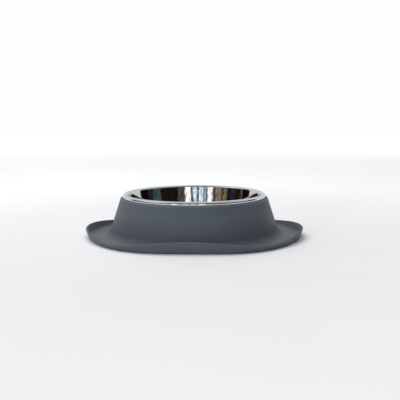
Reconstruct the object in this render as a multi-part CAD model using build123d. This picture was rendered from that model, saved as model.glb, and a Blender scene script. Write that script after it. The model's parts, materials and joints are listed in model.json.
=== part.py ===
from build123d import *
import os
from math import cos, degrees, pi, radians, sin, tan

# A pet feeder: a one-piece silicone moulding, which is a spill mat with a round holder rising from it,
# and a stainless-steel bowl that hangs in the holder by its rolled rim and lifts straight out.
# Millimetres. The origin is on the bowl's axis, in the plane that the mat rests on. +X runs along the
# mat's long side, -Y is the front and +Z is up.

# Driving dimensions of the bowl
rim_diameter = 165.0  # over the rolled rim
rim_roll_diameter = 5.8  # the roll's own thickness
steel_thickness = 0.8
bowl_wall_angle = 12.0  # degrees from upright
bowl_corner_radius = 14.0  # inside, between wall and bottom
bowl_ground_gap = 3.0  # under the bowl's bottom
bottom_panel_diameter = 92.0  # the pressed-up panel that keeps the bottom flat
bottom_panel_rise = 0.8
rim_curl = 315.0  # degrees that the sheet turns through
press_radius = 0.6  # inside the bends of the bottom panel

# Driving dimensions of the holder
holder_height = 46.5  # to the top of its rounded shoulder
holder_wall_angle = 18.0  # degrees from upright
holder_wall = 3.0
shoulder_radius = 4.0
shoulder_width = 2.1  # from the rim's edge out to the line of the wall, at the top
rim_above_shoulder = 3.5
seat_thickness = 3.0  # of silicone under the rim
seat_fillet = 2.5  # under the seat, inside the holder
foot_fillet = 12.0  # from the holder's wall down into the mat
ring_groove_count = 4
ring_groove_first = 3.3  # from the top of the holder to the first groove
ring_groove_pitch = 2.35
ring_groove_radius = 0.6
ring_groove_depth = 0.45

# Driving dimensions of the mat
mat_thickness = 3.0
end_reach = 27.2  # from the foot of the holder's wall to the lip's outer edge, at the ends
front_reach = 7.2  # the same at the front and back
corner_fullness = 1.6  # how far the corners stand out from a plain oval
end_fullness = 1.4  # how square the ends are
lip_front_height = 12.9  # the lip's crests at the front and back
lip_end_height = 11.5  # its crests at the ends
lip_low_height = 6.0  # its troughs at the corners
lip_fullness = 0.35  # how much wider the crests are than the troughs
lip_thickness = 2.4
lip_flare = 3.3  # how far the lip leans out between the ground and its top
lip_foot_fillet = 2.0  # inside, between lip and mat
quarter_sections = 8  # the lip's surface passes through this many radial sections in each quarter

# Clearances
seat_clearance = 0.3  # all round the rolled rim and the bowl's neck in its seat

# Worked out from the above
roll_radius = rim_roll_diameter / 2
roll_centre_r = rim_diameter / 2 - roll_radius
roll_centre_z = holder_height + rim_above_shoulder - roll_radius
wall_lean = radians(holder_wall_angle)
bowl_lean = radians(bowl_wall_angle)
holder_top_r = rim_diameter / 2 + shoulder_width
holder_foot_r = holder_top_r + (holder_height - mat_thickness) * tan(wall_lean)
mat_length = 2 * (holder_foot_r + end_reach)
mat_width = 2 * (holder_foot_r + front_reach)


def point(r, z):
    """A point of a section in the XZ plane."""
    return Vector(r, 0, z)


def turned(section):
    """The solid that a section in the XZ plane makes when it is turned about the bowl's axis."""
    return Part() + revolve(section, Axis.Z, 360)


def arc_about(centre, radius, start, size):
    """An arc in the XZ plane, with angles in degrees from +X towards +Z."""
    angles = [radians(start + size * share) for share in (0, 0.5, 1)]
    ends = [centre + Vector(radius * cos(a), 0, radius * sin(a)) for a in angles]
    return ThreePointArc(*ends)


def wall_r(z):
    """Radius of the holder's outer wall at height z."""
    return holder_top_r + (holder_height - z) * tan(wall_lean)


def inner_wall_r(z):
    """Radius of the holder's inner wall at height z."""
    return wall_r(z) - holder_wall / cos(wall_lean)


def bowl_wall_r(z, depth):
    """Radius of the bowl's wall at height z, at a depth into the steel from its inner face."""
    tangent_r = roll_centre_r - (roll_radius - depth) * cos(bowl_lean)
    tangent_z = roll_centre_z + (roll_radius - depth) * sin(bowl_lean)
    return tangent_r - (tangent_z - z) * tan(bowl_lean)


# --- the silicone moulding ---


def holder_section():
    """Half section of the holder, from the hole under the bowl out to the end of its foot fillet."""
    turn = pi / 2 + wall_lean
    fillet_run = foot_fillet / tan(turn / 2)
    shoulder_run = shoulder_radius * tan((pi / 2 - wall_lean) / 2)
    flat_end_r = holder_foot_r + fillet_run
    foot_centre = point(flat_end_r, mat_thickness + foot_fillet)
    foot_arc = arc_about(foot_centre, foot_fillet, 270, holder_wall_angle - 90)
    shoulder_centre = point(holder_top_r - shoulder_run, holder_height - shoulder_radius)
    shoulder_arc = arc_about(shoulder_centre, shoulder_radius, holder_wall_angle, 90 - holder_wall_angle)
    neck_r = bowl_wall_r(roll_centre_z, steel_thickness) + seat_clearance
    seat_under = roll_centre_z - roll_radius - seat_clearance - seat_thickness
    under_r = inner_wall_r(seat_under)
    outline = [
        Line(point(inner_wall_r(0), 0), point(flat_end_r, 0)),
        Line(point(flat_end_r, 0), foot_arc @ 0),
        foot_arc,
        Line(foot_arc @ 1, shoulder_arc @ 0),
        shoulder_arc,
        Line(shoulder_arc @ 1, point(neck_r, holder_height)),
        Line(point(neck_r, holder_height), point(neck_r, seat_under)),
        Line(point(neck_r, seat_under), point(under_r, seat_under)),
        Line(point(under_r, seat_under), point(inner_wall_r(0), 0)),
    ]
    section = make_face(Curve() + outline)
    corner = section.vertices().sort_by_distance(point(under_r, seat_under))[0]
    section = fillet(corner, seat_fillet)
    rim_space = Circle(roll_radius + seat_clearance)
    section -= Plane.XZ * Location((roll_centre_r, roll_centre_z)) * rim_space
    return section


def ring_grooves():
    """Sections of the fine grooves that run round the holder's shoulder."""
    grooves = []
    for index in range(ring_groove_count):
        z = holder_height - ring_groove_first - index * ring_groove_pitch
        out = ring_groove_radius - ring_groove_depth
        centre = (wall_r(z) + out * cos(wall_lean), z + out * sin(wall_lean))
        grooves.append(Plane.XZ * Location(centre) * Circle(ring_groove_radius))
    return grooves


def mat_radius(angle):
    """Distance from the axis to the lip's outer edge, in the direction of angle."""
    mean = (mat_length + mat_width) / 4 + corner_fullness
    swing = (mat_length - mat_width) / 4 - end_fullness
    return (mean + swing * cos(2 * angle) - corner_fullness * cos(4 * angle)
            + end_fullness * cos(6 * angle))


def lip_height(angle):
    """Height of the wavy lip, which has crests at the front, back and ends."""
    crest = (lip_front_height + lip_end_height) / 2
    lean = (lip_end_height - lip_front_height) / 2
    wave = (crest - lip_low_height) / 2
    middle = (crest + lip_low_height) / 2 + lip_fullness * (1 - cos(8 * angle))
    return middle + lean * cos(2 * angle) + wave * cos(4 * angle)


def mat_section(angle):
    """Radial section of the mat, from under the holder's wall out to its flared lip, as a wire."""
    outer_r, height = mat_radius(angle), lip_height(angle)
    outer_base_r = outer_r - lip_flare
    top_z = height - lip_thickness / 2
    inner_top = point(outer_r - lip_thickness, top_z)
    outer_top = point(outer_r, top_z)
    foot_r = outer_base_r - lip_thickness + lip_flare * mat_thickness / top_z
    up_the_lip = (inner_top - point(foot_r, mat_thickness)).normalized()
    along_the_mat = Vector(-1, 0, 0)
    fillet_run = lip_foot_fillet * tan(along_the_mat.get_angle(-up_the_lip) * pi / 360)
    foot_up = point(foot_r, mat_thickness) + up_the_lip * fillet_run
    foot_in = point(foot_r, mat_thickness) + along_the_mat * fillet_run
    hidden_r = (inner_wall_r(0) + holder_foot_r) / 2
    outline = [
        Line(point(hidden_r, 0), point(outer_base_r, 0)),
        Line(point(outer_base_r, 0), outer_top),
        ThreePointArc(outer_top, point(outer_r - lip_thickness / 2, height), inner_top),
        Line(inner_top, foot_up),
        TangentArc(foot_up, foot_in, tangent=-up_the_lip),
        Line(foot_in, point(hidden_r, mat_thickness)),
        Line(point(hidden_r, mat_thickness), point(hidden_r, 0)),
    ]
    return Wire(outline).rotate(Axis.Z, degrees(angle))


def mat_quarter():
    """The mat between the +X and +Y directions."""
    step = pi / 2 / quarter_sections
    sections = [mat_section(step * index) for index in range(-1, quarter_sections + 2)]
    reach = mat_length + mat_width
    quadrant = Box(reach, reach, reach, align=(Align.MIN, Align.MIN, Align.CENTER))
    return Part() + (Solid.make_loft(sections) & quadrant)


def mat_ground():
    """A block that stands on the mat's footprint and stays inside its flared lip."""
    count = 4 * quarter_sections
    angles = [2 * pi * index / count for index in range(count)]
    radii = [mat_radius(angle) - lip_flare for angle in angles]
    outline = Spline([Vector(r * cos(a), r * sin(a), 0) for r, a in zip(radii, angles)], periodic=True)
    return extrude(make_face(outline), holder_height * 2)


def silicone_feeder():
    """The one-piece moulding: holder, seat for the rim, spill mat and lip."""
    quarter = mat_quarter()
    half = quarter + mirror(quarter, Plane.YZ)
    mat = half + mirror(half, Plane.XZ)
    holder = turned(holder_section() - ring_grooves()) & mat_ground()
    return mat + holder


# --- the steel bowl ---


def bowl_side(depth):
    """The bowl's line from its axis up to the rolled rim, at a depth into the steel from its inner face."""
    ground_z = bowl_ground_gap + steel_thickness - depth
    tangent_z = roll_centre_z + (roll_radius - depth) * sin(bowl_lean)
    panel_r = bottom_panel_diameter / 2 - depth * tan(pi / 8)
    corners = [
        point(0, ground_z + bottom_panel_rise),
        point(panel_r, ground_z + bottom_panel_rise),
        point(panel_r + bottom_panel_rise, ground_z),
        point(bowl_wall_r(ground_z, depth), ground_z),
        point(bowl_wall_r(tangent_z, depth), tangent_z),
    ]
    upper_bend = press_radius + steel_thickness - depth
    return FilletPolyline(*corners, radius=[upper_bend, press_radius + depth, bowl_corner_radius + depth])


def rim_side(depth):
    """The rolled rim's line, outwards over the top and curled back to the wall."""
    centre = point(roll_centre_r, roll_centre_z)
    return arc_about(centre, roll_radius - depth, 180 - bowl_wall_angle, bowl_wall_angle - rim_curl)


def steel_bowl():
    """The bowl, pressed from one sheet, with its edge rolled outwards."""
    faces = [bowl_side(0), rim_side(0), bowl_side(steel_thickness), rim_side(steel_thickness)]
    axis_end = Line(faces[0] @ 0, faces[2] @ 0)
    curl_end = Line(faces[1] @ 1, faces[3] @ 1)
    return turned(make_face(Curve() + [*faces, axis_end, curl_end]))


if __name__ == "__main__":
    os.makedirs("parts", exist_ok=True)
    print(f"silicone {mat_length:.1f} x {mat_width:.1f} mm, rim {roll_centre_z + roll_radius:.1f} mm high")
    for name, make in {"silicone_feeder": silicone_feeder, "steel_bowl": steel_bowl}.items():
        solids = make().solids()
        export_step(solids[0] if len(solids) == 1 else Compound(children=solids), f"parts/{name}.step")
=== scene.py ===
import json
from math import atan2, ceil, cos, hypot, pi, radians, sin, sqrt, tan

import bmesh
import bpy
import numpy as np
from bpy.props import FloatProperty, FloatVectorProperty, IntProperty, PointerProperty
from mathutils import Matrix, Vector


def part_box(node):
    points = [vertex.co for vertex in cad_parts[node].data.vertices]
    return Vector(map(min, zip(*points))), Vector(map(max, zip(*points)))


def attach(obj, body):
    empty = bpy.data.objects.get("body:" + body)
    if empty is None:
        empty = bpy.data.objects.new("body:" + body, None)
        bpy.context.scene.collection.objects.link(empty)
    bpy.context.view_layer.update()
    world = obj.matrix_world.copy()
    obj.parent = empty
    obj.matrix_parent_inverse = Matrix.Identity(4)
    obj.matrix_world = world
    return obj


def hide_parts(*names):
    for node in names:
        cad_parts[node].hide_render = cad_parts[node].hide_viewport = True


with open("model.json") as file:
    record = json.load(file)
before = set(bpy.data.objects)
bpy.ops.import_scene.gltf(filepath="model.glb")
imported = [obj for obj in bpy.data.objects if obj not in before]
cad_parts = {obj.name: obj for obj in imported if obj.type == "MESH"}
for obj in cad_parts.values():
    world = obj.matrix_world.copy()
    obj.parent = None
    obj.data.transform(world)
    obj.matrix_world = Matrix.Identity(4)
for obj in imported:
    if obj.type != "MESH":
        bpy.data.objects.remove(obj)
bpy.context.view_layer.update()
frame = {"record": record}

bl_info = {
    "name": "Silicone Feeder with Steel Bowl",
    "version": (1, 0, 0),
    "blender": (4, 5, 0),
    "location": "3D View > Sidebar > Feeder",
    "description": "A one-piece silicone feeding mat with a stainless-steel bowl that lifts out",
    "category": "Add Mesh",
}

# Metres. The origin is on the bowl's axis in the plane that the mat rests on, -Y is the front, +Z is up.
MM = 0.001
FEEDER_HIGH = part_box("silicone_feeder")[1]
BOWL_LOW, BOWL_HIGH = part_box("steel_bowl")

SILICONE_DEPTH = 0.85  # the moulding's colour, as a share of its slot's plain colour
OUTWARDS = 0.2  # how far a face leans out or down before it counts as the bowl's brushed side
STRAIGHT = radians(179)  # a corner that opens wider than this is not rounded
SHARPEST = 0.01 * MM  # the least softness between lip and mat
MERGE = 0.001 * MM  # points closer than this are one point


def slot_colour(name):
    """The colour that the record gives a material slot."""
    slots = {slot["slot"]: slot["base_color"] for slot in frame["record"]["materials"]}
    return tuple(slots[name][:3])


# --- sizes and finishes that a user may change ---


def length(name, description, default):
    """A length in metres."""
    return FloatProperty(name=name, description=description, default=default, min=0, unit="LENGTH",
                         precision=5)


def turn(name, description, degrees):
    """An angle, given in degrees."""
    return FloatProperty(name=name, description=description, default=radians(degrees), subtype="ANGLE")


def share(name, description, default):
    """A number from 0 to 1."""
    return FloatProperty(name=name, description=description, default=default, min=0, max=1,
                         subtype="FACTOR")


def tint(name, description, default):
    """A linear colour."""
    return FloatVectorProperty(name=name, description=description, default=default, size=3, min=0, max=1,
                               subtype="COLOR")


class BowlSizes(bpy.types.PropertyGroup):
    roll: length("Roll", "Thickness of the rolled rim", 5.8 * MM)
    sheet: length("Sheet", "Thickness of the steel", 0.8 * MM)
    lean: turn("Wall lean", "How far the wall leans out from upright", 12)
    corner: length("Corner radius", "Inside, between wall and bottom", 14 * MM)
    panel: length("Panel radius", "The pressed-up panel in the bottom", 46 * MM)
    panel_rise: length("Panel rise", "How high the panel is pressed up", 0.8 * MM)
    press: length("Press radius", "Inside the panel's bends", 0.6 * MM)
    curl: turn("Curl", "How far the rim's sheet is turned", 315)
    sides: IntProperty(name="Sides", description="Faces round the bowl", default=256, min=64)


class FeederSizes(bpy.types.PropertyGroup):
    holder_height: length("Holder height", "To the top of its shoulder", 46.5 * MM)
    lean: turn("Wall lean", "How far the holder's wall leans in from upright", 18)
    wall: length("Wall", "Thickness of the holder's wall", 3 * MM)
    shoulder: length("Shoulder radius", "The rounding at the holder's top", 4 * MM)
    shoulder_width: length("Shoulder width", "From the rim's edge to the line of the wall", 2.1 * MM)
    clearance: length("Clearance", "Round the rim in its seat", 0.3 * MM)
    seat: length("Seat", "Thickness of silicone under the rim", 3 * MM)
    seat_fillet: length("Seat fillet", "Under the seat", 2.5 * MM)
    foot: length("Foot fillet", "From the wall down into the mat", 12 * MM)
    edge: length("Edge radius", "The small rounding of every moulded edge", 0.45 * MM)
    grooves: IntProperty(name="Grooves", description="Fine rings round the holder's shoulder", default=4,
                         min=1)
    groove_first: length("First groove", "Below the holder's top", 3.3 * MM)
    groove_pitch: length("Groove pitch", "From one groove to the next", 2.35 * MM)
    groove_depth: length("Groove depth", "How deep each groove is", 0.45 * MM)
    groove_width: length("Groove width", "Across each groove", 1.3 * MM)
    mat: length("Mat", "Thickness of the mat", 3 * MM)
    corner_fullness: length("Corner fullness", "How far the corners stand out from an oval", 1.6 * MM)
    end_fullness: length("End fullness", "How square the ends are", 1.4 * MM)
    lip_front: length("Lip at the front", "Its crests at the front and back", 12.9 * MM)
    lip_end: length("Lip at the ends", "Its crests at the ends", 11.5 * MM)
    lip_low: length("Lip at the corners", "Its troughs", 6.0 * MM)
    lip_fullness: length("Lip fullness", "How much wider the crests are than the troughs", 0.35 * MM)
    lip: length("Lip thickness", "Across the rounded top of the lip", 2.4 * MM)
    ground_edge: length("Ground edge", "The rounding where the mat meets the ground", 2.0 * MM)
    flare: length("Lip flare", "How far the lip leans out", 3.3 * MM)
    valley: length("Valley softness", "How softly the lip runs into the mat", 2.4 * MM)
    sides: IntProperty(name="Sides", description="Faces round the mat", default=256, min=64)


class Finishes(bpy.types.PropertyGroup):
    silicone: tint("Silicone", "The silicone's colour",
                   tuple(SILICONE_DEPTH * c for c in slot_colour("silicone")))
    silicone_roughness: share("Silicone roughness", "From gloss to matt", 0.52)
    steel: tint("Steel", "The steel's colour", slot_colour("steel"))
    polish: share("Polish roughness", "The mirror finish of the inside and the rim", 0.035)
    satin: share("Satin roughness", "The brushed finish of the outside", 0.27)


class StageSettings(bpy.types.PropertyGroup):
    floor: share("Floor", "How white the floor is", 0.775)
    camera_distance: length("Camera distance", "From the bowl's axis", 681.3 * MM)
    camera_height: length("Camera height", "Above the floor", 133.2 * MM)
    camera_azimuth: turn("Camera azimuth", "How far the camera stands to the right of the front", 3.01)
    camera_pan: turn("Camera pan", "How far it looks to the right of the bowl's axis", 0.57)
    camera_tilt: turn("Camera tilt", "How far it looks down", 7.69)
    camera_roll: turn("Camera roll", "How far it is rolled clockwise", 0.22)
    lens: FloatProperty(name="Lens", description="Focal length", default=53.1, unit="CAMERA")


class FeederSettings(bpy.types.PropertyGroup):
    bowl: PointerProperty(type=BowlSizes)
    feeder: PointerProperty(type=FeederSizes)
    finish: PointerProperty(type=Finishes)
    stage: PointerProperty(type=StageSettings)


# --- sections, as lists of (radius, height) ---


def arc(centre, radius, start, end, steps):
    """Points along an arc, with angles from outwards towards up."""
    angles = [start + (end - start) * step / steps for step in range(steps + 1)]
    return [(centre[0] + radius * cos(a), centre[1] + radius * sin(a)) for a in angles]


def straight(start, end, steps):
    """Points from start to end, without start."""
    return [(start[0] + (end[0] - start[0]) * step / steps, start[1] + (end[1] - start[1]) * step / steps)
            for step in range(1, steps + 1)]


def rounded(corners, steps):
    """A line through corners of (radius, height, rounding), with an arc of that rounding at each."""
    line = [corners[0][:2]]
    for before, here, after in zip(corners, corners[1:], corners[2:]):
        corner, rounding = Vector(here[:2]), here[2]
        back = (Vector(before[:2]) - corner).normalized()
        on = (Vector(after[:2]) - corner).normalized()
        opening = back.angle(on)
        if rounding <= 0 or opening > STRAIGHT:
            line.append(tuple(corner))
            continue
        run = rounding / tan(opening / 2)
        centre = corner + (back + on).normalized() * rounding / sin(opening / 2)
        first, last = corner + back * run - centre, corner + on * run - centre
        sweep = first.angle_signed(last)
        for step in range(steps + 1):
            spoke = first.copy()
            spoke.rotate(Matrix.Rotation(-sweep * step / steps, 2))
            line.append(tuple(centre + spoke))
    line.append(corners[-1][:2])
    return line


def filled(line, longest):
    """The line with points added so that no step is longer than longest."""
    points = [line[0]]
    for start, end in zip(line, line[1:]):
        gap = hypot(end[0] - start[0], end[1] - start[1])
        if gap > 0:
            points += straight(start, end, max(1, ceil(gap / longest)))
    return points


def even(line, count):
    """count points at even steps along a line."""
    line = np.array(line)
    run = np.concatenate([[0], np.cumsum(np.hypot(*np.diff(line, axis=0).T))])
    places = np.linspace(0, run[-1], count)
    return list(zip(np.interp(places, run, line[:, 0]), np.interp(places, run, line[:, 1])))


def soft_max(a, b, softness):
    """The higher of a and b, with the corner between them rounded."""
    blend = max(softness - abs(a - b), 0) / softness
    return max(a, b) + blend * blend * softness / 4


# --- the steel bowl's shape ---


def roll_centre(bowl):
    """The middle of the rolled rim's section."""
    return BOWL_HIGH.x - bowl.roll / 2, BOWL_HIGH.z - bowl.roll / 2


def bowl_wall(bowl, height, depth):
    """Radius of the bowl's wall at a height, at a depth into the steel from its inner face."""
    centre_r, centre_z = roll_centre(bowl)
    reach = bowl.roll / 2 - depth
    return centre_r - reach * cos(bowl.lean) - (centre_z + reach * sin(bowl.lean) - height) * tan(bowl.lean)


def bowl_side(bowl, depth):
    """The bowl's line from its axis up to the rolled rim, at a depth into the steel."""
    ground = BOWL_LOW.z + bowl.sheet - depth
    panel = bowl.panel - depth * tan(pi / 8)
    top = roll_centre(bowl)[1] + (bowl.roll / 2 - depth) * sin(bowl.lean)
    corners = [
        (0.0, ground + bowl.panel_rise, 0),
        (panel, ground + bowl.panel_rise, bowl.press + bowl.sheet - depth),
        (panel + bowl.panel_rise, ground, bowl.press + depth),
        (bowl_wall(bowl, ground, depth), ground, bowl.corner + depth),
        (bowl_wall(bowl, top, depth), top, 0),
    ]
    return filled(rounded(corners, steps=10), longest=4 * MM)


def bowl_section(bowl):
    """The sheet's whole section, from the axis inside, over the rim and back to the axis underneath."""
    centre = roll_centre(bowl)
    start, end = pi - bowl.lean, pi - bowl.curl
    over = arc(centre, bowl.roll / 2, start, end, steps=40)
    back = arc(centre, bowl.roll / 2 - bowl.sheet, end, start, steps=28)
    middle = bowl.roll / 2 - bowl.sheet / 2
    edge_centre = (centre[0] + middle * cos(end), centre[1] + middle * sin(end))
    edge = arc(edge_centre, bowl.sheet / 2, end, end - pi, steps=6)[1:-1]
    inside = bowl_side(bowl, 0)[1:-1]
    outside = bowl_side(bowl, bowl.sheet)[1:-1]
    return inside + over + edge + back + outside[::-1]


# --- the silicone moulding's shape ---


def holder_wall(feeder, height, inner=False):
    """Radius of the holder's outer or inner wall at a height."""
    top = BOWL_HIGH.x + feeder.shoulder_width
    radius = top + (feeder.holder_height - height) * tan(feeder.lean)
    return radius - feeder.wall / cos(feeder.lean) if inner else radius


def mat_radius(feeder, angle):
    """Distance from the axis to the lip's outer edge."""
    mean = (FEEDER_HIGH.x + FEEDER_HIGH.y) / 2 + feeder.corner_fullness
    swing = (FEEDER_HIGH.x - FEEDER_HIGH.y) / 2 - feeder.end_fullness
    return (mean + swing * cos(2 * angle) - feeder.corner_fullness * cos(4 * angle)
            + feeder.end_fullness * cos(6 * angle))


def lip_height(feeder, angle):
    """Height of the wavy lip."""
    crest = (feeder.lip_front + feeder.lip_end) / 2
    lean = (feeder.lip_end - feeder.lip_front) / 2
    wave = (crest - feeder.lip_low) / 2
    middle = (crest + feeder.lip_low) / 2 + feeder.lip_fullness * (1 - cos(8 * angle))
    return middle + lean * cos(2 * angle) + wave * cos(4 * angle)


def seat_line(settings):
    """From the neck under the rim, through the seat and over the shoulder to the top of the wall."""
    feeder, bowl = settings.feeder, settings.bowl
    centre_r, centre_z = roll_centre(bowl)
    reach = bowl.roll / 2 + feeder.clearance
    neck = bowl_wall(bowl, centre_z, bowl.sheet) + feeder.clearance
    under = centre_z - reach - feeder.seat
    run = feeder.shoulder * tan((pi / 2 - feeder.lean) / 2)
    shoulder = (BOWL_HIGH.x + feeder.shoulder_width - run, feeder.holder_height - feeder.shoulder)
    # The crest is where the seat's circle meets the shoulder's.
    gap = hypot(shoulder[0] - centre_r, shoulder[1] - centre_z)
    along = (reach**2 - feeder.shoulder**2 + gap**2) / (2 * gap)
    aside = sqrt(reach**2 - along**2)
    unit = ((shoulder[0] - centre_r) / gap, (shoulder[1] - centre_z) / gap)
    crest = (centre_r + along * unit[0] - aside * unit[1], centre_z + along * unit[1] + aside * unit[0])
    from_seat = atan2(crest[1] - centre_z, crest[0] - centre_r)
    from_shoulder = atan2(crest[1] - shoulder[1], crest[0] - shoulder[0])
    neck_angle = -pi + np.arccos((centre_r - neck) / reach)
    trim = feeder.edge / reach
    round_over = feeder.edge / feeder.shoulder
    seat = arc((centre_r, centre_z), reach, neck_angle, from_seat - trim, steps=16)
    outside = arc(shoulder, feeder.shoulder, from_shoulder - round_over, feeder.lean, steps=12)
    # Two points just below the crest blunt it.
    cut = 0.35 * feeder.edge
    crown = [(crest[0] + across * cut, crest[1] - down * cut)
             for across, down in ((-0.35, 1.1), (0.55, 0.8))]
    neck_corners = [(neck + feeder.edge, under, 0), (neck, under, 0.9 * feeder.edge), (neck, seat[0][1], 0)]
    neck_line = filled(rounded(neck_corners, steps=3)[:-1], longest=2 * MM)
    return neck_line + seat + crown + outside


def groove_dip(feeder, height):
    """How far the fine rings cut into the wall at a height."""
    dip = 0.0
    for index in range(feeder.grooves):
        offset = height - (feeder.holder_height - feeder.groove_first - index * feeder.groove_pitch)
        share_of_width = abs(offset) / (feeder.groove_width / 2)
        if share_of_width < 1:
            dip = max(dip, feeder.groove_depth * cos(share_of_width * pi / 2) ** 2)
    return dip


def wall_line(feeder, top, bottom):
    """The holder's outer wall from a height down to another, with its ring grooves."""
    line = []
    grooved = feeder.holder_height - feeder.groove_first - feeder.grooves * feeder.groove_pitch
    shoulder_heights = np.linspace(top, grooved, num=64)[1:]
    plain_heights = np.linspace(grooved, bottom, num=10)[1:]
    for height in np.concatenate([shoulder_heights, plain_heights]):
        dip = groove_dip(feeder, height)
        line.append((holder_wall(feeder, height) - dip * cos(feeder.lean), height - dip * sin(feeder.lean)))
    return line


def mat_line(feeder, angle, start_height):
    """The upper surface from the holder's wall, down its foot fillet, over the mat and up the lip."""
    foot_r = holder_wall(feeder, feeder.mat)
    centre = (foot_r + feeder.foot / tan((pi / 2 + feeder.lean) / 2), feeder.mat + feeder.foot)
    tangent = (centre[0] - feeder.foot * cos(feeder.lean), centre[1] - feeder.foot * sin(feeder.lean))
    outer, top = mat_radius(feeder, angle), lip_height(feeder, angle) - feeder.lip / 2
    slope = top / feeder.flare
    inner = outer - feeder.lip
    start = holder_wall(feeder, start_height)
    line = []
    for r in np.linspace(start, inner, num=400):
        if r < tangent[0]:
            foot = tangent[1] + (tangent[0] - r) / tan(feeder.lean)
        elif r < centre[0]:
            foot = centre[1] - sqrt(feeder.foot**2 - (centre[0] - r) ** 2)
        else:
            foot = feeder.mat
        # The softening fades out towards the lip's top, so that the line ends exactly on it.
        fade = min(1, (top - foot) / (2 * feeder.valley), (inner - r) / (0.25 * feeder.flare))
        softness = max(feeder.valley * fade, SHARPEST)
        line.append((r, soft_max(foot, top - (inner - r) * slope, softness)))
    return line


def lip_line(feeder, angle):
    """Over the lip's rounded top, down its flared outside and round onto the ground."""
    outer, height = mat_radius(feeder, angle), lip_height(feeder, angle)
    top = height - feeder.lip / 2
    over = arc((outer - feeder.lip / 2, top), feeder.lip / 2, pi, 0, steps=14)[1:]
    base = outer - feeder.flare
    corners = [(outer, top, 0), (base, 0, feeder.ground_edge), (base - 3 * feeder.ground_edge, 0, 0)]
    down = rounded(corners, steps=7)[1:]
    return over + straight(over[-1], down[0], steps=7)[:-1] + down


def under_line(settings):
    """From the mat's underside, up inside the holder and in under the seat."""
    feeder, bowl = settings.feeder, settings.bowl
    centre_z = roll_centre(bowl)[1]
    neck = bowl_wall(bowl, centre_z, bowl.sheet) + feeder.clearance
    under = centre_z - bowl.roll / 2 - feeder.clearance - feeder.seat
    foot = holder_wall(feeder, 0, inner=True)
    margin = 4 * MM
    corners = [
        (foot + margin, 0, 0),
        (foot, 0, feeder.edge),
        (holder_wall(feeder, under, inner=True), under, feeder.seat_fillet),
        (neck + 3 * feeder.edge, under, 0),
    ]
    return filled(rounded(corners, steps=6), longest=5 * MM)


def feeder_sections(settings):
    """The moulding's closed section at every side."""
    feeder = settings.feeder
    margin = 2 * MM
    foot_start = feeder.mat + feeder.foot + margin
    seat = seat_line(settings)
    wall = wall_line(feeder, seat[-1][1], foot_start)
    under = under_line(settings)
    sections = []
    for side in range(feeder.sides):
        angle = 2 * pi * side / feeder.sides
        mat = even(mat_line(feeder, angle, foot_start), count=46)[1:]
        sections.append(seat + wall + mat + lip_line(feeder, angle) + under)
    return sections


# --- meshes, made ring by ring ---


def deselect():
    """Nothing is selected, and no object is in edit mode."""
    if bpy.context.object and bpy.context.object.mode != "OBJECT":
        bpy.ops.object.mode_set(mode="OBJECT")
    bpy.ops.object.select_all(action="DESELECT")


def place_ring(obj, sections, ring):
    """Puts the newest ring of vertices on its section points."""
    sides = len(sections)
    mesh = bmesh.from_edit_mesh(obj.data)
    mesh.verts.ensure_lookup_table()
    for vertex in mesh.verts[-sides:]:
        side = round(atan2(vertex.co.y, vertex.co.x) / (2 * pi / sides)) % sides
        radius, height = sections[side][ring]
        angle = 2 * pi * side / sides
        vertex.co = (radius * cos(angle), radius * sin(angle), height)
    bmesh.update_edit_mesh(obj.data)


def close_pole(obj, sides, first):
    """Draws the first or the last ring together into a point on the axis."""
    bpy.ops.mesh.select_all(action="DESELECT")
    mesh = bmesh.from_edit_mesh(obj.data)
    mesh.verts.ensure_lookup_table()
    ring = mesh.verts[:sides] if first else mesh.verts[-sides:]
    for vertex in ring:
        vertex.select = True
    mesh.select_flush_mode()
    bmesh.update_edit_mesh(obj.data)
    bpy.ops.mesh.extrude_edges_move()
    bpy.ops.mesh.merge(type="CENTER")


def lay_rings(name, sections, closed):
    """A surface made by extruding a circle from ring to ring, closed on itself or at two poles."""
    deselect()
    sides, rings = len(sections), len(sections[0])
    bpy.ops.mesh.primitive_circle_add(vertices=sides, radius=sections[0][0][0], fill_type="NOTHING")
    obj = bpy.context.object
    obj.name = obj.data.name = name
    bpy.ops.object.mode_set(mode="EDIT")
    bpy.ops.mesh.select_mode(type="VERT")
    place_ring(obj, sections, 0)
    for ring in range(1, rings):
        bpy.ops.mesh.extrude_edges_move()
        place_ring(obj, sections, ring)
    if closed:
        bpy.ops.mesh.extrude_edges_move()
        place_ring(obj, sections, 0)
        bpy.ops.mesh.select_all(action="SELECT")
        bpy.ops.mesh.remove_doubles(threshold=MERGE)
    else:
        close_pole(obj, sides, first=False)
        close_pole(obj, sides, first=True)
    bpy.ops.mesh.select_all(action="SELECT")
    bpy.ops.mesh.normals_make_consistent(inside=False)
    bpy.ops.mesh.select_all(action="DESELECT")
    bpy.ops.object.mode_set(mode="OBJECT")
    bpy.ops.object.shade_smooth()
    return obj


# --- node building ---


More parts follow.
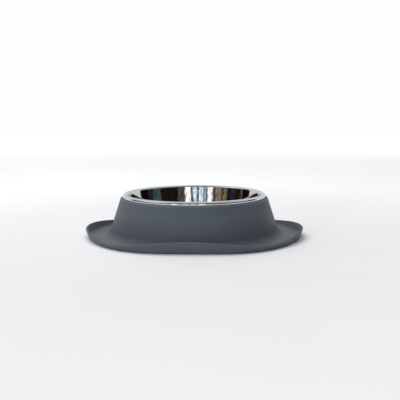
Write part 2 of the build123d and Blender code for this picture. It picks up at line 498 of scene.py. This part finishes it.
class Nodes:
    """Short calls that build one node tree. A value may be a number, a colour or another node's socket."""

    def __init__(self, tree):
        self.tree = tree

    def feed(self, node, inputs):
        """Sets a node's inputs, or links them where the value is a socket."""
        for key, value in inputs.items():
            if isinstance(value, bpy.types.NodeSocket):
                self.tree.links.new(value, node.inputs[key])
            else:
                node.inputs[key].default_value = value

    def add(self, kind, inputs=None, **values):
        """A node with its own values set and its inputs fed."""
        node = self.tree.nodes.new(kind)
        for key, value in values.items():
            setattr(node, key, value)
        self.feed(node, inputs or {})
        return node

    def math(self, operation, *values):
        """One sum."""
        return self.add("ShaderNodeMath", dict(enumerate(values)), operation=operation).outputs[0]

    def mix(self, factor, a, b):
        """A mix of two colours."""
        return self.add("ShaderNodeMix", {0: factor, 6: a, 7: b}, data_type="RGBA").outputs[2]

    def scaled(self, colour, factor):
        """A colour made brighter or darker."""
        return self.add("ShaderNodeVectorMath", {0: colour, 3: factor}, operation="SCALE").outputs[0]

    def span(self, value, low, high, to_low=0.0, to_high=1.0):
        """value taken smoothly from low..high to to_low..to_high, and clamped."""
        inputs = {0: value, 1: low, 2: high, 3: to_low, 4: to_high}
        return self.add("ShaderNodeMapRange", inputs, interpolation_type="SMOOTHSTEP").outputs[0]

    def band(self, value, low, high, softness):
        """1 where value is between low and high, fading to 0 on either side."""
        rise = self.span(value, low - softness, low + softness)
        return self.math("SUBTRACT", rise, self.span(value, high - softness, high + softness))

    def place(self):
        """The place on the piece, in its own coordinates."""
        return self.add("ShaderNodeTexCoord").outputs["Object"]

    def axes(self, vector):
        """A vector's three numbers."""
        return self.add("ShaderNodeSeparateXYZ", {0: vector}).outputs

    def from_axis(self, x, y):
        """Distance from the bowl's axis."""
        squares = [self.math("MULTIPLY", value, value) for value in (x, y)]
        return self.math("SQRT", self.math("ADD", *squares))

    def noise(self, vector, scale, detail=2.0, roughness=0.5):
        """Soft noise from 0 to 1."""
        inputs = {"Vector": vector, "Scale": scale, "Detail": detail, "Roughness": roughness}
        return self.add("ShaderNodeTexNoise", inputs).outputs[0]

    def ramp(self, factor, stops):
        """A colour ramp with stops of (place, colour)."""
        node = self.add("ShaderNodeValToRGB", {0: factor})
        elements = node.color_ramp.elements
        while len(elements) > 1:
            elements.remove(elements[-1])
        for index, (place, colour) in enumerate(stops):
            stop = elements[0] if index == 0 else elements.new(place)
            stop.position = place
            stop.color = (*colour, 1)
        return node.outputs[0]

    def effect(self, name, **values):
        """One of the shared effects, placed in this tree with values of its own."""
        node = self.add("ShaderNodeGroup", node_tree=bpy.data.node_groups.get(name) or build_effect(name))
        self.feed(node, values)
        return node.outputs


# --- effects, each a node group that is built once ---


def finger_marks(nodes, source):
    """Soft smudges, as a mask, from handling and wiping."""
    place = nodes.place()
    broad = nodes.noise(place, source["Size"], 3.0, 0.55)
    fine = nodes.noise(place, nodes.math("MULTIPLY", source["Size"], 7.0), 2.0, 0.6)
    both = nodes.math("ADD", nodes.math("MULTIPLY", broad, 0.75), nodes.math("MULTIPLY", fine, 0.25))
    edge = nodes.math("SUBTRACT", 0.75, nodes.math("MULTIPLY", source["Cover"], 0.5))
    return {"Mask": nodes.span(both, edge, nodes.math("ADD", edge, 0.22))}


def lathe_lines(nodes, source):
    """Fine rings about the bowl's axis, as a height and a mask."""
    place = nodes.place()
    x, y, z = nodes.axes(place)
    drift = nodes.math("MULTIPLY", nodes.noise(place, 25.0, 1.0), source["Wander"])
    line = nodes.add("ShaderNodeCombineXYZ", {
        0: nodes.math("ADD", nodes.from_axis(x, y), nodes.math("MULTIPLY", drift, 0.01)),
        1: z,
        2: nodes.math("MULTIPLY", drift, 0.02)}).outputs[0]
    height = nodes.noise(line, source["Lines"], 2.0, 0.7)
    return {"Height": height, "Mask": nodes.span(height, 0.35, 0.65)}


def moulded_grain(nodes, source):
    """A fine moulded grain, as a height, with slow mottling as a mask."""
    place = nodes.place()
    fine = nodes.noise(place, source["Grains"], 3.0, 0.6)
    patches = nodes.noise(place, source["Patches"], 4.0, 0.55)
    return {"Height": fine, "Mottling": nodes.span(patches, 0.3, 0.7)}


# Each effect's builder, its inputs with their defaults, and its outputs. Lines, grains and patches are
# counted per metre.
EFFECTS = {
    "Finger Marks": (finger_marks, {"Size": 60.0, "Cover": 0.5}, ("Mask",)),
    "Lathe Lines": (lathe_lines, {"Lines": 3000.0, "Wander": 0.02}, ("Height", "Mask")),
    "Moulded Grain": (moulded_grain, {"Grains": 2500.0, "Patches": 30.0}, ("Height", "Mottling")),
}


def build_effect(name):
    """The node group of an effect, with its named inputs and outputs."""
    build, inputs, outputs = EFFECTS[name]
    tree = bpy.data.node_groups.new(name, "ShaderNodeTree")
    for label, default in inputs.items():
        socket = tree.interface.new_socket(label, in_out="INPUT", socket_type="NodeSocketFloat")
        socket.default_value = default
    for label in outputs:
        tree.interface.new_socket(label, in_out="OUTPUT", socket_type="NodeSocketFloat")
    nodes = Nodes(tree)
    nodes.add("NodeGroupOutput", build(nodes, nodes.add("NodeGroupInput").outputs))
    return tree


# --- finishes ---


def new_material(name):
    """A material with an empty node tree and its Principled shader."""
    material = bpy.data.materials.new(name)
    material.use_nodes = True
    material.node_tree.nodes.clear()
    nodes = Nodes(material.node_tree)
    shader = nodes.add("ShaderNodeBsdfPrincipled")
    nodes.add("ShaderNodeOutputMaterial", {"Surface": shader.outputs[0]})
    return material, nodes, shader


def painted_foot_shade(nodes, foot_r):
    """A factor of painted shade that darkens the holder's wall towards its foot, with a little painted
    light near its top, and leaves the mat as it is.
    """
    x, y, z = nodes.axes(nodes.place())
    on_wall = nodes.span(nodes.from_axis(x, y), foot_r + 6 * MM, foot_r - 2 * MM)
    # Painted shade: the wall's colour is darker towards the foot and a little lighter near the top.
    shade = nodes.span(z, 12 * MM, 40 * MM, to_low=0.80, to_high=1.06)
    return nodes.math("ADD", 1.0, nodes.math("MULTIPLY", on_wall, nodes.math("SUBTRACT", shade, 1.0)))


def silicone_material(finish, foot_r):
    """Matt slate silicone with a fine grain, faint mottling, a little settled dust and painted shade that
    darkens the holder's foot.
    """
    material, nodes, shader = new_material("Slate Silicone")
    grain = nodes.effect("Moulded Grain")
    marks = nodes.effect("Finger Marks", Size=45.0, Cover=0.45)
    base = tuple(finish.silicone)
    light = tuple(1.07 * c for c in base)
    dust = (0.30, 0.30, 0.29, 1)
    mottled = nodes.mix(grain["Mottling"], (*base, 1), (*light, 1))
    up = nodes.axes(nodes.add("ShaderNodeNewGeometry").outputs["Normal"])[2]
    patchy = nodes.span(grain["Mottling"], 0.0, 1.0, to_low=0.035, to_high=0.075)
    settled = nodes.math("MULTIPLY", nodes.span(up, 0.75, 1.0), patchy)
    # The colour is scaled by the painted shade at the holder's foot.
    colour = nodes.scaled(nodes.mix(settled, mottled, dust), painted_foot_shade(nodes, foot_r))
    handled = finish.silicone_roughness - 0.07
    rough = nodes.span(marks["Mask"], 0, 1, finish.silicone_roughness, handled)
    bump = nodes.add("ShaderNodeBump", {"Height": grain["Height"], "Strength": 0.22, "Distance": 0.08 * MM})
    nodes.feed(shader, {"Base Color": colour, "Roughness": rough, "Normal": bump.outputs[0], "IOR": 1.42,
                        "Specular IOR Level": 0.5})
    return material


def steel_material(name, finish, roughness, lines, depth):
    """Stainless steel with lathe lines, so many to the metre and so deep, and smudges."""
    material, nodes, shader = new_material(name)
    rings = nodes.effect("Lathe Lines", Lines=lines)
    marks = nodes.effect("Finger Marks", Size=38.0, Cover=0.35)
    steel = tuple(finish.steel)
    dull = tuple(0.94 * c for c in steel)
    colour = nodes.mix(rings["Mask"], (*dull, 1), (*steel, 1))
    clean = nodes.span(rings["Mask"], 0, 1, roughness * 1.25, roughness)
    rough = nodes.math("ADD", clean, nodes.math("MULTIPLY", marks["Mask"], 0.5 * roughness))
    bump = nodes.add("ShaderNodeBump", {"Height": rings["Height"], "Strength": 0.3, "Distance": depth})
    nodes.feed(shader, {"Base Color": colour, "Roughness": rough, "Metallic": 1.0,
                        "Normal": bump.outputs[0]})
    return material


def floor_material(stage):
    """A white floor with painted light: it glows more strongly far from the object, so that it meets the
    white background.
    """
    material, nodes, shader = new_material("White Floor")
    place = nodes.place()
    far = nodes.add("ShaderNodeVectorMath", {0: place}, operation="LENGTH").outputs["Value"]
    # Painted light: emission makes the floor glow, a little from 0.2 m out and more from 0.8 m out.
    near_glow, far_glow = nodes.span(far, 0.2, 0.6, to_high=0.1), nodes.span(far, 0.8, 2.5, to_high=0.27)
    patches = nodes.span(nodes.noise(place, 9.0), 0.3, 0.7)
    plain, bright = (stage.floor,) * 3, (1.01 * stage.floor,) * 3
    white = nodes.mix(patches, (*plain, 1), (*bright, 1))
    nodes.feed(shader, {"Base Color": white, "Roughness": 0.8, "Specular IOR Level": 0.2,
                        "Emission Color": (1, 1, 1, 1),
                        "Emission Strength": nodes.math("ADD", near_glow, far_glow)})
    return material


# --- operators ---


class FEEDER_OT_silicone(bpy.types.Operator):
    """Make the one-piece silicone mat and holder"""

    bl_idname = "feeder.silicone"
    bl_label = "Silicone Moulding"

    def execute(self, context):
        settings = context.scene.feeder
        piece = lay_rings("silicone_moulding", feeder_sections(settings), closed=True)
        foot_r = holder_wall(settings.feeder, settings.feeder.mat)
        piece.data.materials.append(silicone_material(settings.finish, foot_r))
        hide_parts("silicone_feeder")
        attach(piece, "feeder")
        return {"FINISHED"}


def is_brushed(bowl, face):
    """Whether a face is on the bowl's brushed side: its outer wall, its underside or inside its roll."""
    middle, normal = face.center, face.normal
    centre_r, centre_z = roll_centre(bowl)
    radius = hypot(middle.x, middle.y)
    if middle.z < centre_z - bowl.roll / 2:
        lean = (normal.x * middle.x + normal.y * middle.y) / max(radius, MM)
        return lean > OUTWARDS or normal.z < -OUTWARDS
    return hypot(radius - centre_r, middle.z - centre_z) <= bowl.roll / 2 - bowl.sheet / 2


class FEEDER_OT_bowl(bpy.types.Operator):
    """Make the steel bowl with its rolled rim"""

    bl_idname = "feeder.bowl"
    bl_label = "Steel Bowl"

    def execute(self, context):
        settings = context.scene.feeder
        bowl, finish = settings.bowl, settings.finish
        section = bowl_section(bowl)
        piece = lay_rings("polished_bowl", [section] * bowl.sides, closed=False)
        for material in (
                steel_material("Polished Steel", finish, finish.polish, lines=1600.0, depth=0.004 * MM),
                steel_material("Satin Steel", finish, finish.satin, lines=5000.0, depth=0.02 * MM)):
            piece.data.materials.append(material)
        for face in piece.data.polygons:
            face.material_index = int(is_brushed(bowl, face))
        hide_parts("steel_bowl")
        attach(piece, "bowl")
        return {"FINISHED"}


# --- the stage ---


def around_and_up(nodes, direction):
    """How far round a direction lies, in turns, with the front at 0.5 and -X at 0.75, and its height."""
    x, y, z = nodes.axes(direction)
    side, front = nodes.math("MULTIPLY", x, -1.0), nodes.math("MULTIPLY", y, -1.0)
    turns = nodes.math("DIVIDE", nodes.math("ARCTAN2", side, front), 2 * pi)
    return nodes.math("ADD", turns, 0.5), z


def at(degrees):
    """Where an azimuth, in degrees from the front towards -X, lies on a scale of one turn."""
    return degrees / 360 + 0.5


def above(nodes, z, low, high):
    """0 below the lower elevation, in degrees, and 1 above the higher one."""
    return nodes.span(z, sin(radians(low)), sin(radians(high)))


def reflected_room(nodes, direction):
    """What the polished steel mirrors: a dark room with a bright window in front, under a white ceiling."""
    around, z = around_and_up(nodes, direction)
    black, brown, wall = (0.004, 0.004, 0.004, 1), (0.013, 0.009, 0.007, 1), (0.10, 0.08, 0.063, 1)
    teal, cane, blind = (0.048, 0.088, 0.080, 1), (0.28, 0.215, 0.14, 1), (0.075, 0.062, 0.05, 1)
    navy = (0.022, 0.024, 0.042, 1)
    window, pane, shade = (1.35, 1.35, 1.32, 1), (0.62, 0.75, 0.92, 1), (0.06, 0.10, 0.16, 1)
    plain_wall, ground, overhead = (0.68, 0.69, 0.71, 1), (0.8, 0.8, 0.81, 1), (0.60, 0.595, 0.58, 1)

    # The furniture stands in upright bands with ragged edges, each painted over the ones before.
    streaks = nodes.add("ShaderNodeMapping", {"Vector": direction, "Scale": (1, 1, 26)}).outputs[0]
    ragged = nodes.math("MULTIPLY", nodes.math("SUBTRACT", nodes.noise(streaks, 11.0, 3.0), 0.5), 0.036)
    edges = nodes.math("ADD", around, ragged)
    room = black
    for start, end, colour in (
            (-97, -84, navy), (-85, -69, teal), (-68, -38, brown), (-34, -21, wall),
            (-20, 33, window),
            (-10, -5, shade), (-4, 1, pane), (2, 7, shade), (8, 13, pane), (14, 23, shade), (17, 19, pane),
            (35, 62, blind), (38, 49, cane), (62, 90, brown), (56, 60, cane), (70, 80, navy),
            (92, 97, wall)):
        room = nodes.mix(nodes.band(edges, at(start), at(end), 1.2 / 360), room, colour)
    patches = nodes.add("ShaderNodeMapping", {"Vector": direction, "Scale": (1, 1, 5)}).outputs[0]
    mottled = nodes.span(nodes.noise(patches, 32.0, 1.0), 0.36, 0.64, to_low=0.3, to_high=1.7)
    room = nodes.scaled(room, mottled)
    room = nodes.mix(nodes.band(around, at(-118), at(117), 1.5 / 360), plain_wall, room)

    front, right, left, back = ((grey,) * 3 for grey in (0.10, 0.40, 0.90, 0.68))
    ceiling = nodes.ramp(around, [
        (0.0, back), (at(-130), back), (at(-80), right), (at(-30), front),
        (at(30), front), (at(80), left), (at(130), back), (1.0, back)])
    ceiling = nodes.mix(above(nodes, z, 52, 72), ceiling, overhead)
    surround = nodes.mix(above(nodes, z, 22, 30), room, ceiling)
    return nodes.mix(above(nodes, z, -4, 1), ground, surround)


def studio_light(nodes, direction):
    """The soft light on the object: strong from above and the left, cool in front, dark on the right."""
    around, z = around_and_up(nodes, direction)
    front, right, left, back = (0.97, 1.05, 1.15), (0.02, 0.02, 0.03), (1.15, 1.15, 1.15), (1.1, 1.1, 1.1)
    overhead = (1.2, 1.2, 1.2, 1)
    sides = nodes.ramp(around, [
        (0.0, back), (at(-172), back), (at(-140), right), (at(-62), right), (at(-20), front),
        (at(30), front), (at(80), left), (at(130), back), (1.0, back)])
    return nodes.mix(above(nodes, z, 45, 70), sides, overhead)


def room_world():
    """A white background for the camera, a room for the steel to mirror, and soft light for the rest."""
    world = bpy.data.worlds.new("Studio")
    world.use_nodes = True
    world.node_tree.nodes.clear()
    nodes = Nodes(world.node_tree)
    direction = nodes.add("ShaderNodeTexCoord").outputs["Generated"]
    path = nodes.add("ShaderNodeLightPath").outputs
    light, mirrored = studio_light(nodes, direction), reflected_room(nodes, direction)
    backdrop = (0.975, 0.98, 0.99, 1)
    surround = nodes.mix(path["Is Camera Ray"], nodes.mix(path["Is Glossy Ray"], light, mirrored), backdrop)
    background = nodes.add("ShaderNodeBackground", {"Color": surround, "Strength": 1.0})
    nodes.add("ShaderNodeOutputWorld", {"Surface": background.outputs[0]})
    return world


def soft_light(name, place, aim, size, power):
    """A square soft light that looks at a point, and that the steel doesn't mirror."""
    deselect()
    bpy.ops.object.light_add(type="AREA", location=place)
    light = bpy.context.object
    light.name = name
    light.data.shape = "SQUARE"
    light.data.size = size
    light.data.energy = power
    light.visible_glossy = False
    light.rotation_euler = (Vector(aim) - Vector(place)).to_track_quat("-Z", "Y").to_euler()


def aim_camera(camera, stage):
    """Puts the camera at its distance and height, turned, tilted and rolled."""
    out = Vector((sin(stage.camera_azimuth), -cos(stage.camera_azimuth), 0)) * stage.camera_distance
    heading = stage.camera_azimuth - stage.camera_pan
    turned = (Matrix.Rotation(heading, 4, "Z") @ Matrix.Rotation(pi / 2 - stage.camera_tilt, 4, "X")
              @ Matrix.Rotation(-stage.camera_roll, 4, "Z"))
    camera.matrix_world = Matrix.Translation(out + Vector((0, 0, stage.camera_height))) @ turned


class FEEDER_OT_stage(bpy.types.Operator):
    """Make the white floor, the soft light and the camera"""

    bl_idname = "feeder.stage"
    bl_label = "Stage"

    def execute(self, context):
        scene, stage = context.scene, context.scene.feeder.stage
        deselect()
        bpy.ops.mesh.primitive_circle_add(vertices=96, radius=8, fill_type="NGON", location=(0, 0, 0))
        floor = context.object
        floor.name = "floor"
        floor.data.materials.append(floor_material(stage))
        scene.world = room_world()
        scene.view_settings.view_transform = "Standard"
        soft_light("top_softbox", place=(-0.35, 0.45, 1.25), aim=(0, 0, 0), size=0.9, power=6.0)
        bpy.ops.object.camera_add()
        camera = context.object
        camera.data.lens = stage.lens
        camera.data.clip_start = 10 * MM
        aim_camera(camera, stage)
        scene.camera = camera
        return {"FINISHED"}


class FEEDER_PT_panel(bpy.types.Panel):
    """The feeder's pieces and stage"""

    bl_idname = "FEEDER_PT_panel"
    bl_label = "Feeder"
    bl_space_type = "VIEW_3D"
    bl_region_type = "UI"
    bl_category = "Feeder"

    def draw(self, context):
        for operator in (FEEDER_OT_silicone, FEEDER_OT_bowl, FEEDER_OT_stage):
            self.layout.operator(operator.bl_idname)
        settings = context.scene.feeder
        for group in (settings.bowl, settings.feeder, settings.finish, settings.stage):
            box = self.layout.box()
            for name in group.__annotations__:
                box.prop(group, name)


CLASSES = (BowlSizes, FeederSizes, Finishes, StageSettings, FeederSettings,
           FEEDER_OT_silicone, FEEDER_OT_bowl, FEEDER_OT_stage, FEEDER_PT_panel)


def register():
    for cls in CLASSES:
        bpy.utils.register_class(cls)
    bpy.types.Scene.feeder = PointerProperty(type=FeederSettings)


def unregister():
    del bpy.types.Scene.feeder
    for cls in reversed(CLASSES):
        bpy.utils.unregister_class(cls)


def main():
    register()
    bpy.ops.feeder.silicone()
    bpy.ops.feeder.bowl()
    bpy.ops.feeder.stage()


if __name__ == "__main__":
    main()
